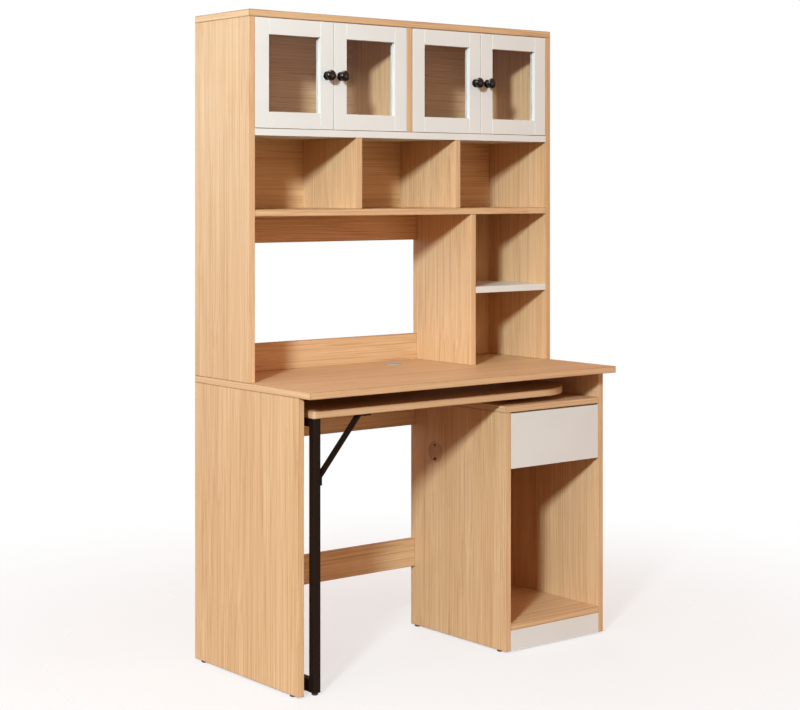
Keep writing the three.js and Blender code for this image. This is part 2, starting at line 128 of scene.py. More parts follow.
# How strongly the lines show, where a board differs from its neighbours.
CONTRAST = {"desktop": 0.32, "swing_top_board": 0.32, "hutch_back_panel": 0.52, "upper_back_rail": 0.62}
WHITE_BOARDS = (
    "kick_board", "cabinet_floor", "column_shelf", "drawer_front",
    "door_1_frame", "door_2_frame", "door_3_frame", "door_4_frame",
)
DRAWER_BOARDS = ("drawer_left_side", "drawer_right_side", "drawer_back", "drawer_floor")

# Linear colours.
OAK_PALE = (0.813, 0.586, 0.344)
OAK_LIGHT = (0.717, 0.479, 0.260)
OAK_MID = (0.651, 0.409, 0.207)
OAK_DARK = (0.437, 0.222, 0.089)
# Painted shade: the dark colour laid along board rims for the shade in the seams where boards meet.
PAINTED_SEAM_SHADE = (0.270, 0.105, 0.038)
WHITE_FOIL = (0.775, 0.802, 0.756)
BIRCH_PALE = (0.780, 0.650, 0.470)
BIRCH_LIGHT = (0.720, 0.580, 0.400)
BIRCH_MID = (0.660, 0.510, 0.330)
BIRCH_DARK = (0.540, 0.400, 0.240)


# ---- Node helpers ----
class Graph:
    """A material's nodes, with inputs given as values or as sockets."""

    def __init__(self, tree):
        self.tree = tree

    def add(self, kind, inputs=(), **settings):
        made = self.tree.nodes.new(kind)
        for key, value in settings.items():
            setattr(made, key, value)
        for key, value in dict(inputs).items():
            self.feed(made.inputs[key], value)
        return made

    def feed(self, socket, value):
        if isinstance(value, bpy.types.NodeSocket):
            self.tree.links.new(value, socket)
        elif isinstance(value, (tuple, list, Vector)) and socket.type == "RGBA":
            socket.default_value = (*value[:3], 1.0)
        else:
            socket.default_value = value

    def math(self, operation, a, b=0.0, clamp=False):
        made = self.add("ShaderNodeMath", {0: a, 1: b}, operation=operation)
        made.use_clamp = clamp
        return made.outputs[0]

    def vector(self, operation, a, b=(0.0, 0.0, 0.0)):
        return self.add("ShaderNodeVectorMath", {0: a, 1: b}, operation=operation).outputs[0]

    def noise(self, at, stretch, detail=2.0, roughness=0.5):
        where = self.vector("MULTIPLY", at, stretch)
        inputs = {"Vector": where, "Scale": 1.0, "Detail": detail, "Roughness": roughness}
        return self.add("ShaderNodeTexNoise", inputs).outputs["Fac"]

    def span(self, value, low, high, to_low=0.0, to_high=1.0):
        inputs = {"Value": value, 1: low, 2: high, 3: to_low, 4: to_high}
        made = self.add("ShaderNodeMapRange", inputs, interpolation_type="SMOOTHSTEP")
        return made.outputs["Result"]

    def mix(self, factor, a, b, blend="MIX"):
        made = self.add("ShaderNodeMix", data_type="RGBA", blend_type=blend)
        self.feed(made.inputs[0], factor)
        self.feed(made.inputs[6], a)
        self.feed(made.inputs[7], b)
        return made.outputs[2]

    def bump(self, height, distance, strength=1.0):
        inputs = {"Height": height, "Distance": distance, "Strength": strength}
        return self.add("ShaderNodeBump", inputs).outputs["Normal"]

    def object_place(self):
        return self.add("ShaderNodeTexCoord").outputs["Object"]


def new_material(name):
    material = bpy.data.materials.new(name)
    material.use_nodes = True
    material.node_tree.nodes.clear()
    return material, Graph(material.node_tree)


def end_in(graph, shader):
    """Joins a shader to the material's output."""
    output = graph.add("ShaderNodeOutputMaterial")
    graph.tree.links.new(shader.outputs[0], output.inputs["Surface"])


def glowing(name, colour, strength):
    material, graph = new_material(name)
    end_in(graph, graph.add("ShaderNodeEmission", {"Color": colour, "Strength": strength}))
    return material


def uniform(scale):
    """The same noise scale along all three axes."""
    return (scale, scale, scale)


def finish_material(graph, **inputs):
    """Ends a material in one Principled shader. Keys use _ for a space in the socket's name."""
    named = {key.replace("_", " "): value for key, value in inputs.items()}
    end_in(graph, graph.add("ShaderNodeBsdfPrincipled", named))


# ---- Wood print: one shared group, with the grain along its third coordinate ----
# Each noise is stretched along the grain: across, across, along.
DRIFT_STRETCH = (5.0, 5.0, 1.1)
BAND_STRETCH = (22.0, 22.0, 0.5)
LINE_STRETCH = (360.0, 360.0, 1.6)
FINE_STRETCH = (760.0, 760.0, 6.0)
PORE_STRETCH = (1500.0, 1500.0, 42.0)
WANDER = 28 * MM
FINE_SHARE = 0.26
PORE_SHARE = 0.22
PORE_DEPTH = -1.0
FINE_DEPTH = -0.35
# Contrast where CONTRAST names none: upright boards, level boards and drawer boards.
UPRIGHT_CONTRAST = 0.50
LEVEL_CONTRAST = 0.58
DRAWER_CONTRAST = 0.22
# Painted shade along a board's rim, standing in for the shade in the seams where boards meet: its width, and
# its weakest and strongest share.
SEAM_SHADE_WIDTH = (0.5 * MM, 2.4 * MM)
SEAM_SHADE_SHARE = (0.42, 0.62)
# A face counts as a board's end when its normal lies this far along the grain.
END_FACE = 0.72


def wood_group(name, pale, light, mid, dark):
    tree = bpy.data.node_groups.new(name, "ShaderNodeTree")
    face = tree.interface
    face.new_socket("Vector", in_out="INPUT", socket_type="NodeSocketVector")
    face.new_socket("Contrast", in_out="INPUT", socket_type="NodeSocketFloat")
    for label, kind in (("Color", "NodeSocketColor"), ("Height", "NodeSocketFloat")):
        face.new_socket(label, in_out="OUTPUT", socket_type=kind)
    graph = Graph(tree)
    source = graph.add("NodeGroupInput")
    at = source.outputs["Vector"]
    contrast = source.outputs["Contrast"]

    # The lines wander a few millimetres over the length of a board.
    drift = graph.math("SUBTRACT", graph.noise(at, DRIFT_STRETCH), 0.5)
    aside = [graph.math("MULTIPLY", drift, WANDER) for _ in range(2)]
    wander = graph.add("ShaderNodeCombineXYZ", {0: aside[0], 1: aside[1]})
    at = graph.vector("ADD", at, wander.outputs[0])

    bands = graph.noise(at, BAND_STRETCH)
    lines = graph.noise(at, LINE_STRETCH, 2.0, 0.6)
    fine = graph.noise(at, FINE_STRETCH, 2.0, 0.6)
    pores = graph.noise(at, PORE_STRETCH, 1.0)

    colour = graph.mix(graph.span(bands, 0.26, 0.78), light, mid)
    pale_mask = graph.math("MULTIPLY", graph.span(lines, 0.34, 0.49, 1.0, 0.0), contrast)
    colour = graph.mix(pale_mask, colour, pale)
    line_mask = graph.math("MULTIPLY", graph.span(lines, 0.52, 0.68), contrast)
    colour = graph.mix(line_mask, colour, dark)
    fine_mask = graph.math("MULTIPLY", graph.span(fine, 0.50, 0.70), FINE_SHARE)
    colour = graph.mix(fine_mask, colour, dark)
    pore_mask = graph.span(pores, 0.63, 0.70)
    colour = graph.mix(graph.math("MULTIPLY", pore_mask, PORE_SHARE), colour, dark)

    depth = graph.math("ADD", graph.math("MULTIPLY", pore_mask, PORE_DEPTH),
                       graph.math("MULTIPLY", graph.span(fine, 0.4, 0.7), FINE_DEPTH))
    ends = graph.add("NodeGroupOutput")
    graph.tree.links.new(colour, ends.inputs["Color"])
    graph.tree.links.new(depth, ends.inputs["Height"])
    return tree


OAK = wood_group("oak_print", OAK_PALE, OAK_LIGHT, OAK_MID, OAK_DARK)
BIRCH = wood_group("birch_print", BIRCH_PALE, BIRCH_LIGHT, BIRCH_MID, BIRCH_DARK)


def edge_distance(graph, at, low, high, upright):
    """How far a point on a board's surface is from the nearest edge that gets painted seam shade.

    Its distance to the face it lies on is nil, so the second smallest is taken. An upright board gets painted
    seam shade only at its two ends.
    """
    centre = (low + high) / 2
    half = (high - low) / 2
    inside = graph.vector("SUBTRACT", tuple(half),
                          graph.vector("ABSOLUTE", graph.vector("SUBTRACT", at, tuple(centre))))
    a, b, c = graph.add("ShaderNodeSeparateXYZ", {0: inside}).outputs
    if upright:
        return c
    least, most = graph.math("MINIMUM", a, b), graph.math("MAXIMUM", a, b)
    return graph.math("MAXIMUM", least, graph.math("MINIMUM", most, c))


def wood(node, grain, seed, print_group, contrast):
    """A board's own piece of the print, with its banded ends running across the grain, and painted shade
    darkening its rims where boards meet.
    """
    low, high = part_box(node)
    size = high - low
    thin = min(range(3), key=lambda i: size[i])
    across = ({0, 1, 2} - {grain, thin}).pop()
    material, graph = new_material(f"wood_{node}")
    coordinates = graph.add("ShaderNodeTexCoord").outputs
    place = coordinates["Object"]
    moved = graph.vector("ADD", place, (1.37 * seed, 0.71 * seed, 2.13 * seed))
    parts = graph.add("ShaderNodeSeparateXYZ", {0: moved}).outputs
    face = graph.add("ShaderNodeCombineXYZ", {0: parts[across], 1: parts[thin], 2: parts[grain]})
    band = graph.add("ShaderNodeCombineXYZ", {0: parts[grain], 1: parts[thin], 2: parts[across]})
    normal = graph.add("ShaderNodeSeparateXYZ", {0: coordinates["Normal"]}).outputs[grain]
    is_end = graph.math("GREATER_THAN", graph.math("ABSOLUTE", normal), END_FACE)
    chosen = graph.add("ShaderNodeMix", data_type="VECTOR")
    graph.feed(chosen.inputs[0], is_end)
    graph.feed(chosen.inputs[4], face.outputs[0])
    graph.feed(chosen.inputs[5], band.outputs[0])

    printed = graph.add("ShaderNodeGroup", node_tree=print_group)
    graph.feed(printed.inputs["Vector"], chosen.outputs[1])
    graph.feed(printed.inputs["Contrast"], contrast)
    to_edge = edge_distance(graph, place, low, high, grain == 2)
    # Painted shade: near an edge the colour darkens towards the seam shade, in patches, for the shade where
    # boards meet.
    rim = graph.span(to_edge, *SEAM_SHADE_WIDTH, 1.0, 0.0)
    patches = graph.span(graph.noise(place, uniform(70.0), 3.0), 0.35, 0.65, *SEAM_SHADE_SHARE)
    seam_shade = graph.math("MULTIPLY", rim, patches)
    colour = graph.mix(seam_shade, printed.outputs["Color"], PAINTED_SEAM_SHADE)
    cloud = graph.noise(place, uniform(9.0), 3.0)
    roughness = graph.span(cloud, 0.3, 0.7, 0.43, 0.53)
    finish_material(graph, Base_Color=colour, Roughness=roughness, Specular_IOR_Level=0.34,
                    Normal=graph.bump(printed.outputs["Height"], 0.05 * MM, 0.55))
    return material


# ---- Other materials ----
# The panes' index is below real glass, so that they pass as much light as the real desk's seem to.
PANE_INDEX = 1.24
PANE_TINT = (0.998, 1.0, 0.999)
PANE_ROUGHNESS = 0.02
DUST_COLOUR = (0.9, 0.88, 0.85)
DUST_SHARE = (0.018, 0.030)
FOIL_SHADE = 0.965
PAINT_SHADE = 0.86
COAT_ROUGHNESS = 0.06
ZINC_PALE = (0.62, 0.63, 0.64)
ZINC_DARK = (0.50, 0.51, 0.53)


def foil():
    material, graph = new_material("white_foil")
    at = graph.object_place()
    tone = graph.span(graph.noise(at, uniform(7.0), 3.0), 0.3, 0.7)
    colour = graph.mix(tone, WHITE_FOIL, tuple(FOIL_SHADE * c for c in WHITE_FOIL))
    peel = graph.noise(at, uniform(620.0), 2.0)
    fibre = graph.noise(at, (240.0, 240.0, 12.0), 2.0)
    height = graph.math("ADD", peel, graph.math("MULTIPLY", fibre, 0.5))
    roughness = graph.span(graph.noise(at, uniform(14.0), 2.0), 0.3, 0.7, 0.38, 0.48)
    finish_material(graph, Base_Color=colour, Roughness=roughness,
                    Normal=graph.bump(height, 0.04 * MM, 0.5))
    return material


def coated(name, colour, rough, grit, grain_scale, metallic=0.0, coat=0.0, specular=0.5):
    """A painted, moulded or coated surface: an even colour with texture, cloudiness and gloss changes."""
    material, graph = new_material(name)
    at = graph.object_place()
    tone = graph.span(graph.noise(at, uniform(22.0), 3.0), 0.3, 0.7)
    shade = graph.mix(tone, colour, tuple(PAINT_SHADE * c for c in colour))
    fine = graph.noise(at, uniform(grain_scale), 3.0, 0.6)
    roughness = graph.span(fine, 0.3, 0.7, rough - 0.05, rough + 0.06)
    finish_material(graph, Base_Color=shade, Metallic=metallic, Roughness=roughness,
                    Coat_Weight=coat, Coat_Roughness=COAT_ROUGHNESS, Specular_IOR_Level=specular,
                    Normal=graph.bump(fine, grit * MM, 0.6))
    return material


def zinc():
    """Rolled zinc-plated steel with draw lines along its length."""
    material, graph = new_material("zinc_steel")
    at = graph.object_place()
    drawn = graph.noise(at, (900.0, 12.0, 900.0), 3.0)
    spangle = graph.noise(at, uniform(160.0), 2.0)
    colour = graph.mix(graph.span(spangle, 0.35, 0.65), ZINC_PALE, ZINC_DARK)
    roughness = graph.span(drawn, 0.3, 0.7, 0.24, 0.42)
    finish_material(graph, Base_Color=colour, Metallic=1.0, Roughness=roughness,
                    Normal=graph.bump(drawn, 0.02 * MM, 0.5))
    return material


def pane():
    """Clear glass that lets lamps through, with a mirror share by angle and a thin film of dust."""
    material, graph = new_material("clear_pane")
    at = graph.object_place()
    waviness = graph.bump(graph.noise(at, uniform(6.0), 1.0), 0.1 * MM, 0.4)
    clear = graph.add("ShaderNodeBsdfTransparent", {"Color": PANE_TINT})
    mirror = graph.add("ShaderNodeBsdfGlossy", {"Color": PURE_WHITE, "Roughness": PANE_ROUGHNESS,
                                                "Normal": waviness})
    angle = graph.add("ShaderNodeFresnel", {"IOR": PANE_INDEX, "Normal": waviness}).outputs[0]
    behind = graph.add("ShaderNodeNewGeometry").outputs["Backfacing"]
    share = graph.math("MULTIPLY", angle, graph.math("SUBTRACT", 1.0, behind))
    both = graph.add("ShaderNodeMixShader", {0: share, 1: clear.outputs[0], 2: mirror.outputs[0]})
    dust = graph.add("ShaderNodeBsdfDiffuse", {"Color": DUST_COLOUR})
    smears = graph.span(graph.noise(at, uniform(11.0), 3.0), 0.3, 0.7, *DUST_SHARE)
    veil = graph.math("MULTIPLY", smears, graph.math("SUBTRACT", 1.0, behind))
    glass = graph.add("ShaderNodeMixShader", {0: veil, 1: both.outputs[0], 2: dust.outputs[0]})
    end_in(graph, glass)
    return material


WHITE = foil()
GLASS = pane()
ZINC = zinc()
COAT = coated("black_powder_coat", (0.0125, 0.0062, 0.0036), rough=0.50, grit=0.06, grain_scale=1500.0,
              specular=0.20)
PIVOT = coated("black_electrocoat", (0.020, 0.018, 0.016), rough=0.36, grit=0.03, grain_scale=900.0,
               metallic=0.3)
KNOB = coated("black_gloss", (0.0045, 0.0040, 0.0038), rough=0.17, grit=0.004, grain_scale=300.0,
              coat=0.5, specular=0.35)
GREY = coated("grey_plastic", (0.420, 0.405, 0.385), rough=0.48, grit=0.03, grain_scale=1100.0)
TAN = coated("tan_plastic", (0.560, 0.330, 0.155), rough=0.45, grit=0.03, grain_scale=1100.0)
GLIDE = coated("brown_plastic", (0.060, 0.042, 0.032), rough=0.55, grit=0.03, grain_scale=900.0)
WHITE_PLASTIC = coated("white_plastic", (0.780, 0.765, 0.740), rough=0.42, grit=0.02, grain_scale=900.0)


# ---- CAD nodes: rounded edges and finishes ----
def dress(node, material, edge, segments=2, smooth_angle=40.0):
    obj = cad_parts[node]
    for slot in obj.material_slots:
        slot.material = material
    weld = obj.modifiers.new("weld", "WELD")
    weld.merge_threshold = 0.001 * MM
    bevel = obj.modifiers.new("edge", "BEVEL")
    bevel.width = edge
    bevel.segments = segments
    bevel.limit_method = "ANGLE"
    bevel.angle_limit = math.radians(smooth_angle)
    even = obj.modifiers.new("even", "WEIGHTED_NORMAL")
    even.weight = 100
    obj.data.shade_smooth()
    return obj


def dress_all():
    seed = 0
    for group, grain in ((UPRIGHT, 2), (LEVEL, 0)):
        for node in group:
            seed += 1
            contrast = CONTRAST.get(node, UPRIGHT_CONTRAST if grain == 2 else LEVEL_CONTRAST)
            dress(node, wood(node, grain, seed, OAK, contrast), BOARD_EDGE)
    for node in DRAWER_BOARDS:
        seed += 1
        grain = 1 if node != "drawer_back" else 0
        dress(node, wood(node, grain, seed, BIRCH, DRAWER_CONTRAST), BOARD_EDGE)
    for node in WHITE_BOARDS:
        dress(node, WHITE, BOARD_EDGE)
    for i in range(1, 5):
        dress(f"door_{i}_glass", GLASS, GLASS_EDGE)
    for hand in ("left", "right"):
        dress(f"{hand}_cabinet_slide", ZINC, FINE_EDGE)
        dress(f"{hand}_drawer_slide", ZINC, THIN_STEEL_EDGE)
    dress("leg_frame", COAT, STEEL_EDGE, 3)
    dress("frame_brace", COAT, THIN_STEEL_EDGE)
    dress("pivot_base", PIVOT, PLASTIC_EDGE)
    dress("pivot_cap", PIVOT, PLASTIC_EDGE)
    dress("desktop_grommet", GREY, FINE_EDGE)
    dress("pedestal_cable_ring", TAN, FINE_EDGE)
    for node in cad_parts:
        if node.endswith("_glide"):
            dress(node, GLIDE, PLASTIC_EDGE)


# ---- Mesh makers ----
def piece(name, mesh, material, body, smooth=True):
    mesh.materials.append(material)
    if smooth:
        mesh.shade_smooth()
    obj = bpy.data.objects.new(name, mesh)
    bpy.context.scene.collection.objects.link(obj)
    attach(obj, body)
    return obj


def mesh_of(name, bm):
    bmesh.ops.recalc_face_normals(bm, faces=bm.faces)
    mesh = bpy.data.meshes.new(name)
    bm.to_mesh(mesh)
    bm.free()
    return mesh


ON_AXIS = 1e-9


def in_metres(profile):
    """A profile of (radius, height) pairs, from millimetres."""
    return [(radius * MM, height * MM) for radius, height in profile]


def turn_profile(bm, profile, place, turns=64):
    """Adds a closed turned solid from (radius, height) pairs about the local Z of place."""
    rings = []
    for radius, height in profile:
        if radius < ON_AXIS:
            rings.append([bm.verts.new(place @ Vector((0, 0, height)))])
            continue
        ring = []
        for k in range(turns):
            a = 2 * math.pi * k / turns
            point = Vector((radius * math.cos(a), radius * math.sin(a), height))
            ring.append(bm.verts.new(place @ point))
        rings.append(ring)
    for one, two in zip(rings, rings[1:]):
        for k in range(turns):
            j = (k + 1) % turns
            corners = [one[k % len(one)], one[j % len(one)], two[j % len(two)], two[k % len(two)]]
            unique = list(dict.fromkeys(corners))
            if len(unique) > 2:
                bm.faces.new(unique)


def smooth_profile(points, steps=4):
    """A Catmull-Rom line through the points, for turned shapes."""
    ends = [points[0], *points, points[-1]]
    out = []
    for a, b, c, d in zip(ends, ends[1:], ends[2:], ends[3:]):
        for s in range(steps):
            t = s / steps
            out.append(tuple(
                0.5 * (2 * b[i] + (c[i] - a[i]) * t + (2 * a[i] - 5 * b[i] + 4 * c[i] - d[i]) * t * t
                       + (3 * b[i] - a[i] - 3 * c[i] + d[i]) * t ** 3)
                for i in range(2)
            ))
    out.append(tuple(points[-1]))
    return [(max(r, 0.0), h) for r, h in out]


def bar(bm, low, high, chamfer=0.0):
    """Adds a closed bar between two corners, with its twelve edges cut by chamfer."""
    made = bmesh.ops.create_cube(bm, size=1.0)
    verts = made["verts"]
    low, high = Vector(low), Vector(high)
    size, centre = high - low, (low + high) / 2
    for v in verts:
        v.co = Vector(v.co[i] * size[i] + centre[i] for i in range(3))
    if chamfer:
        edges = list({e for v in verts for e in v.link_edges})
        bmesh.ops.bevel(bm, geom=edges, offset=chamfer, segments=2, affect="EDGES", profile=0.5)


def facing(axis, at):
    """A place whose local Z points along an axis, such as -Y."""
    target = Vector(axis)
    return Matrix.Translation(Vector(at)) @ target.to_track_quat("Z", "Y").to_matrix().to_4x4()


# ---- Knobs: (radius, height above the door) in millimetres, from the crown to the foot ----
KNOB_PROFILE = (
    (0.0, 27.0), (4.5, 26.7), (8.5, 25.6), (11.8, 23.5), (13.7, 20.6), (13.9, 18.0), (12.9, 15.5),
    (10.0, 13.4), (6.6, 11.8), (5.1, 9.8), (4.8, 6.4), (5.6, 4.2), (8.2, 3.1), (10.6, 2.4),
    (11.0, 1.4), (10.9, 0.3), (10.6, 0.0),
)


def make_knobs():
    line = in_metres(smooth_profile(KNOB_PROFILE)) + [(0.0, 0.0)]
    for i in range(1, 5):
        low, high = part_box(f"door_{i}_knob")
        centre = (low + high) / 2
        bm = bmesh.new()
        turn_profile(bm, line, facing((0, -1, 0), (centre.x, high.y, centre.z)))
        knob = piece(f"door_{i}_pull", mesh_of("pull", bm), KNOB, f"door_{i}")
        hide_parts(f"door_{i}_knob")


# ---- Door fittings: glazing beads, cup hinges ----
CLEARANCE = 0.05 * MM
BEAD = 6 * MM
BEAD_CUT = 0.4 * MM
BEAD_BELOW_FACE = 0.2 * MM

HINGE_FROM_END = 27 * MM
# The cup plate on the door. Its two widths are measured from the cup, to the hinged and to the free side.
CUP_FROM_EDGE = 21 * MM
PLATE_TO_HINGED = 8 * MM
PLATE_TO_FREE = 12 * MM
PLATE_HALF = 18 * MM
PLATE_THICK = 1.4 * MM
PLATE_CUT = 0.4 * MM
CUP_RIM = ((0.0, 1.6), (7.5, 1.6), (8.5, 2.4), (9.5, 2.4), (10.0, 1.9), (10.0, 1.4), (0.0, 1.4))
PLATE_SCREW = ((0.0, 2.3), (1.5, 2.2), (2.4, 1.7), (2.6, 1.4), (0.0, 1.4))
PLATE_SCREW_FROM_CUP = 14.5 * MM
# The base and arm on the carcass, as start and end behind the door's back.
BASE_SPAN = (16 * MM, 44 * MM)
BASE_HALF = 9 * MM
BASE_THICK = 3 * MM
BASE_CUT = 0.6 * MM
ARM_SPAN = (4 * MM, 50 * MM)
ARM_HALF = 6 * MM
ARM_TOP = 11 * MM
ARM_CUT = 1.2 * MM
ARM_SCREW = ((0.0, 1.2), (2.6, 1.1), (3.2, 0.5), (3.2, -0.2), (0.0, -0.2))
ARM_SCREWS_AT = (28 * MM, 42 * MM)


def make_beads():
    for i in range(1, 5):
        glass_low, glass_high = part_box(f"door_{i}_glass")
        door_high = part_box(f"door_{i}_frame")[1]
        bm = bmesh.new()
        y = (glass_high.y + CLEARANCE, door_high.y - BEAD_BELOW_FACE)
        x0, x1, z0, z1 = glass_low.x, glass_high.x, glass_low.z, glass_high.z
        bar(bm, (x0, y[0], z0), (x1, y[1], z0 + BEAD), BEAD_CUT)
        bar(bm, (x0, y[0], z1 - BEAD), (x1, y[1], z1), BEAD_CUT)
        bar(bm, (x0, y[0], z0 + BEAD), (x0 + BEAD, y[1], z1 - BEAD), BEAD_CUT)
        bar(bm, (x1 - BEAD, y[0], z0 + BEAD), (x1, y[1], z1 - BEAD), BEAD_CUT)
        piece(f"door_{i}_beads", mesh_of("beads", bm), WHITE_PLASTIC, f"door_{i}", False)


def add_cup_plate(bm, cup_x, to_free, back, z):
    """Adds the cup's plate, rim and two screws to the door's back."""
    left, right = sorted((cup_x - to_free * PLATE_TO_HINGED, cup_x + to_free * PLATE_TO_FREE))
    bar(bm, (left, back, z - PLATE_HALF), (right, back + PLATE_THICK, z + PLATE_HALF), PLATE_CUT)
    turn_profile(bm, in_metres(CUP_RIM), facing((0, 1, 0), (cup_x, back, z)), 40)
    for dz in (-PLATE_SCREW_FROM_CUP, PLATE_SCREW_FROM_CUP):
        turn_profile(bm, in_metres(PLATE_SCREW), facing((0, 1, 0), (cup_x, back, z + dz)), 20)


def add_arm(bm, wall, to_free, back, z):
    """Adds the base plate, the arm and its two screws to the board that the door hangs on."""
    left, right = sorted((wall + to_free * CLEARANCE, wall + to_free * BASE_THICK))
    bar(bm, (left, back + BASE_SPAN[0], z - BASE_HALF), (right, back + BASE_SPAN[1], z + BASE_HALF), BASE_CUT)
    left, right = sorted((wall + to_free * BASE_THICK, wall + to_free * ARM_TOP))
    bar(bm, (left, back + ARM_SPAN[0], z - ARM_HALF), (right, back + ARM_SPAN[1], z + ARM_HALF), ARM_CUT)
    for dy in ARM_SCREWS_AT:
        place = facing((to_free, 0, 0), (wall + to_free * ARM_TOP, back + dy, z))
        turn_profile(bm, in_metres(ARM_SCREW), place, 20)


def make_hinges():
    """Cup plates that ride on the doors and arms that stay on the carcass. The links between are left out."""
    for i in range(1, 5):
        low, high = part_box(f"door_{i}_frame")
        to_free = 1 if i in (1, 3) else -1
        edge = low.x if to_free == 1 else high.x
        walls = {1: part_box("hutch_left_side")[1].x, 2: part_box("door_bay_divider")[0].x,
                 3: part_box("door_bay_divider")[1].x, 4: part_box("hutch_right_side")[0].x}
        back = high.y + CLEARANCE
        on_door, on_wall = bmesh.new(), bmesh.new()
        for z in (low.z + HINGE_FROM_END, high.z - HINGE_FROM_END):
            add_cup_plate(on_door, edge + to_free * CUP_FROM_EDGE, to_free, back, z)
            add_arm(on_wall, walls[i], to_free, back, z)
        piece(f"door_{i}_hinge_cups", mesh_of("cups", on_door), ZINC, f"door_{i}", False)
        piece(f"door_{i}_hinge_arms", mesh_of("arms", on_wall), ZINC, "carcass", False)


# ---- Lids of the two cable openings ----
LID_THICK = 2.4 * MM
LID_EDGE = 0.5 * MM
SLOT_STEPS = 12
RIM_STEPS = 40
GROMMET_LID_RADIUS = 17.8 * MM
GROMMET_LID_BELOW_TOP = 0.5 * MM
GROMMET_SLOT_HALF = 4.5 * MM
GROMMET_SLOT_IN = 9 * MM
RING_LID_RADIUS = 21.8 * MM
RING_LID_BEHIND_LIP = 0.6 * MM
RING_SLOT_HALF = 6.5 * MM
RING_SLOT_IN = 1.5 * MM


def lid_outline(radius, slots, slot_half, slot_in):
    """A round lid's outline, with round-ended cable slots cut in from its rim at the given angles."""
    opening = math.asin(slot_half / radius)
    inner = radius - slot_in
    outline = []
    for slot, following in zip(slots, (*slots[1:], slots[0] + 2 * math.pi)):
        for step in range(SLOT_STEPS + 1):
            a = slot - math.pi / 2 - math.pi * step / SLOT_STEPS
            outline.append((inner * math.cos(slot) + slot_half * math.cos(a),
                            inner * math.sin(slot) + slot_half * math.sin(a)))
        for step in range(RIM_STEPS + 1):
            a = slot + opening + (following - slot - 2 * opening) * step / RIM_STEPS
            outline.append((radius * math.cos(a), radius * math.sin(a)))
    return outline


def make_lid(name, place, radius, slots, slot_half, slot_in, material):
    """A slotted disc whose top lies at the place, facing its local Z."""
    outline = lid_outline(radius, slots, slot_half, slot_in)
    bm = bmesh.new()
    upper = [bm.verts.new(place @ Vector((x, y, 0.0))) for x, y in outline]
    lower = [bm.verts.new(place @ Vector((x, y, -LID_THICK))) for x, y in outline]
    bm.faces.new(upper)
    bm.faces.new(lower[::-1])
    for k in range(len(outline)):
        j = (k + 1) % len(outline)
        bm.faces.new((upper[k], lower[k], lower[j], upper[j]))
    lid = piece(name, mesh_of(name, bm), material, "carcass", False)
    edge = lid.modifiers.new("edge", "BEVEL")
    edge.width = LID_EDGE
    edge.segments = 2
    edge.limit_method = "ANGLE"


def make_lids():
    low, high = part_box("desktop_grommet")
    centre = (low + high) / 2
    at = Matrix.Translation(Vector((centre.x, centre.y, high.z - GROMMET_LID_BELOW_TOP)))
    make_lid("grommet_lid", at, GROMMET_LID_RADIUS, (0.0,), GROMMET_SLOT_HALF, GROMMET_SLOT_IN, GREY)
    low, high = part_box("pedestal_cable_ring")
    centre = (low + high) / 2
    left = low.x + RING_LID_BEHIND_LIP
    at = Matrix(((0, 0, -1, left), (-1, 0, 0, centre.y), (0, 1, 0, centre.z), (0, 0, 0, 1)))
    slots = (math.pi / 2, 3 * math.pi / 2)
    make_lid("cable_ring_lid", at, RING_LID_RADIUS, slots, RING_SLOT_HALF, RING_SLOT_IN, TAN)


# ---- Screws and cam caps ----
PAN_HEAD = ((0.0, 2.1), (1.8, 2.0), (3.2, 1.4), (3.8, 0.5), (3.8, 0.0), (0.0, 0.0))
CAM_CAP = ((0.0, 0.9), (6.4, 0.9), (7.2, 0.6), (7.5, 0.1), (7.5, 0.0), (0.0, 0.0))
BACK_SCREW = ((0.0, 1.0), (1.6, 0.95), (2.6, 0.5), (2.8, 0.0), (0.0, 0.0))
BRACE_THICK = 4 * MM
FOOT_SCREW_UP = 10 * MM
HEAD_SCREW_IN = 12 * MM
TOP_BAR_DEEP = 20 * MM
FRAME_SCREW_IN = 60 * MM
BOARD = 17 * MM
CAP_FROM_END = 26 * MM
SHELF_CAP_IN = 45 * MM
RAIL_CAP_IN = 20 * MM
BACK_SCREW_IN = 7 * MM
# How many screws stand along a back panel's width and height.
BACK_SCREW_COUNTS = (("hutch_back_panel", 6, 3), ("column_back_panel", 3, 3), ("pedestal_back_panel", 3, 4))


def heads(name, profile, spots, material, body, turns=28):
    """One piece of several turned heads. Each spot is an outward axis and a point on the surface."""
    line = in_metres(profile)
    bm = bmesh.new()
    for axis, at in spots:
        turn_profile(bm, line, facing(axis, at), turns)
    return piece(name, mesh_of(name, bm), material, body, False)


def along(low, high, inset, count):
    step = (high - low - 2 * inset) / (count - 1)
    return [low + inset + step * k for k in range(count)]


def make_screws():
    low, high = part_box("frame_brace")
    frame_low, frame_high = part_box("leg_frame")
    y = (low.y + high.y) / 2
    foot_x = frame_high.x + BRACE_THICK
    spots = [((1, 0, 0), (foot_x, y, low.z + FOOT_SCREW_UP))]
    spots.append(((0, 0, -1), (high.x - HEAD_SCREW_IN, y, high.z - BRACE_THICK)))
    heads("brace_screws", PAN_HEAD, spots, COAT, "swing_top")

    bar_low = frame_high.z - TOP_BAR_DEEP
    spots = []
    for y in along(frame_low.y, frame_high.y, FRAME_SCREW_IN, 3):
        spots.append(((0, 0, -1), ((frame_low.x + frame_high.x) / 2, y, bar_low)))
    heads("frame_screws", PAN_HEAD, spots, COAT, "swing_top")


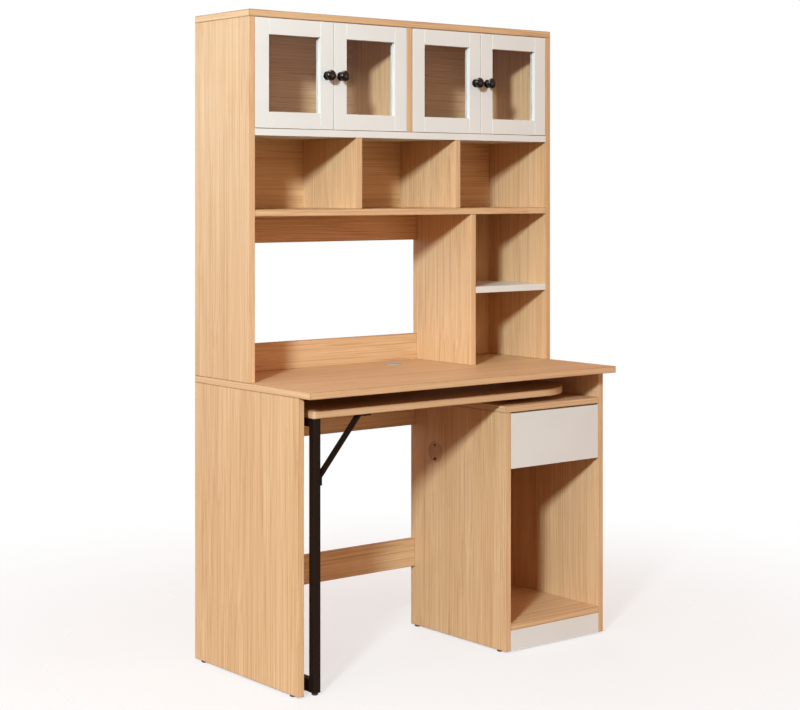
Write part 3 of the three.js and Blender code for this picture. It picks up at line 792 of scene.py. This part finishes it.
def make_caps():
    """Cam caps near the ends of shelves and rails, on their undersides and backs."""
    spots = []
    for shelf in ("cubby_shelf", "cabinet_floor", "hutch_top", "pedestal_top", "pedestal_shelf"):
        low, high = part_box(shelf)
        left_wall = BOARD if shelf in ("hutch_top", "pedestal_top") else 0.0
        right_wall = BOARD if shelf == "hutch_top" else 0.0
        for x in (low.x + left_wall + CAP_FROM_END, high.x - CAP_FROM_END - right_wall):
            for y in (low.y + SHELF_CAP_IN, high.y - SHELF_CAP_IN):
                spots.append(((0, 0, -1), (x, y, low.z)))
    heads("shelf_cam_caps", CAM_CAP, spots, WHITE_PLASTIC, "carcass")
    spots = []
    for rail in ("rear_rail", "lower_stretcher", "upper_back_rail", "lower_back_rail"):
        low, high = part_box(rail)
        for x in (low.x + CAP_FROM_END, high.x - CAP_FROM_END):
            for z in (low.z + RAIL_CAP_IN, high.z - RAIL_CAP_IN):
                spots.append(((0, 1, 0), (x, high.y, z)))
    heads("rail_cam_caps", CAM_CAP, spots, TAN, "carcass")


def make_back_screws():
    """Small screws round the rims of the three thin back panels."""
    spots = []
    for back, count_x, count_z in BACK_SCREW_COUNTS:
        low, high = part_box(back)
        for x in along(low.x, high.x, BACK_SCREW_IN, count_x):
            for z in (low.z + BACK_SCREW_IN, high.z - BACK_SCREW_IN):
                spots.append(((0, 1, 0), (x, high.y, z)))
        for z in along(low.z, high.z, BACK_SCREW_IN, count_z + 1)[1:-1]:
            for x in (low.x + BACK_SCREW_IN, high.x - BACK_SCREW_IN):
                spots.append(((0, 1, 0), (x, high.y, z)))
    heads("back_panel_screws", BACK_SCREW, spots, ZINC, "carcass", 20)


# ---- Studio ----
def turned_to(at, aim):
    """The rotation that points a lamp's or card's face, its -Z, from one place to another."""
    return (Vector(aim) - Vector(at)).to_track_quat("-Z", "Y").to_euler()


def reflection_card(name, at, radius, strength, colour):
    """A glowing square that only reflections show."""
    bm = bmesh.new()
    bmesh.ops.create_circle(bm, cap_ends=True, radius=radius, segments=4)
    card = bpy.data.objects.new(name, mesh_of(name, bm))
    card.data.materials.append(glowing(name + "_glow", colour, strength))
    card.location = at
    card.visible_camera = False
    card.visible_diffuse = False
    card.visible_shadow = False
    return card


def make_floor():
    """A pale disc that thins out to nothing, in a white shell that is seen and lights nothing."""
    material, graph = new_material("pale_floor")
    at = graph.object_place()
    radius = graph.add("ShaderNodeVectorMath", {0: at}, operation="LENGTH").outputs["Value"]
    tone = graph.mix(graph.noise(at, uniform(3.0), 3.0), FLOOR_PALE, FLOOR_GREY)
    paint = graph.add("ShaderNodeBsdfPrincipled", {"Base Color": tone, "Roughness": 0.7})
    clear = graph.add("ShaderNodeBsdfTransparent")
    fade = graph.span(radius, *FLOOR_FADE)
    both = graph.add("ShaderNodeMixShader", {0: fade, 1: paint.outputs[0], 2: clear.outputs[0]})
    end_in(graph, both)
    bm = bmesh.new()
    bmesh.ops.create_circle(bm, cap_ends=True, radius=FLOOR_RADIUS, segments=96)
    floor = bpy.data.objects.new("studio_floor", mesh_of("studio_floor", bm))
    floor.data.materials.append(material)

    bm = bmesh.new()
    bmesh.ops.create_uvsphere(bm, u_segments=48, v_segments=24, radius=SHELL_RADIUS)
    shell = bpy.data.objects.new("studio_shell", mesh_of("studio_shell", bm))
    shell.data.materials.append(glowing("white_shell", PURE_WHITE, 1.0))
    shell.visible_diffuse = False
    shell.visible_glossy = False
    shell.visible_shadow = False

    glint = reflection_card("studio_card", CARD_AT, CARD_RADIUS, CARD_STRENGTH, PURE_WHITE)
    sheen = reflection_card("studio_sheen", SHEEN_AT, SHEEN_RADIUS, SHEEN_STRENGTH, SHEEN_COLOUR)
    sheen.rotation_euler = turned_to(SHEEN_AT, MIDDLE)
    for obj in (floor, shell, glint, sheen):
        bpy.context.scene.collection.objects.link(obj)


def area_light(name, at, size, power, colour):
    """A round lamp that points at the middle of the desk."""
    data = bpy.data.lights.new(name, "AREA")
    data.shape = "DISK"
    data.size = size
    data.energy = power
    data.color = colour
    lamp = bpy.data.objects.new(name, data)
    lamp.location = at
    lamp.rotation_euler = turned_to(at, MIDDLE)
    bpy.context.scene.collection.objects.link(lamp)
    return lamp


def make_studio():
    make_floor()
    area_light("key", KEY_AT, KEY_SIZE, KEY_POWER, KEY_COLOUR)
    area_light("left_fill", FILL_AT, FILL_SIZE, FILL_POWER, FILL_COLOUR)
    area_light("front_fill", FRONT_AT, FILL_SIZE, FRONT_POWER, FRONT_COLOUR)
    back = area_light("back_fill", BACK_AT, FILL_SIZE, BACK_POWER, BACK_COLOUR)
    back.visible_glossy = False
    world = bpy.data.worlds.new("studio")
    world.use_nodes = True
    graph = Graph(world.node_tree)
    background = world.node_tree.nodes["Background"]
    background.inputs["Color"].default_value = (*AMBIENT_COLOUR, 1.0)
    direction = graph.add("ShaderNodeTexCoord").outputs["Generated"]
    height = graph.add("ShaderNodeSeparateXYZ", {0: direction}).outputs[2]
    strength = graph.span(height, WORLD_DARK_UNTIL, WORLD_BRIGHT_FROM, WORLD_BELOW, WORLD_ABOVE)
    graph.feed(background.inputs["Strength"], strength)
    bpy.context.scene.world = world
    bpy.context.scene.view_settings.view_transform = "Standard"


def make_camera():
    data = bpy.data.cameras.new("view")
    data.sensor_width = SENSOR_WIDTH
    data.sensor_fit = "HORIZONTAL"
    data.lens = CAMERA_LENS
    data.shift_x, data.shift_y = CAMERA_SHIFT
    data.clip_end = FAR_CLIP
    camera = bpy.data.objects.new("view", data)
    camera.location = CAMERA_AT
    camera.rotation_euler = (math.radians(90), 0.0, math.radians(CAMERA_YAW))
    bpy.context.scene.collection.objects.link(camera)
    bpy.context.scene.camera = camera


dress_all()
make_knobs()
make_beads()
make_hinges()
make_lids()
make_screws()
make_caps()
make_back_screws()
make_studio()
make_camera()
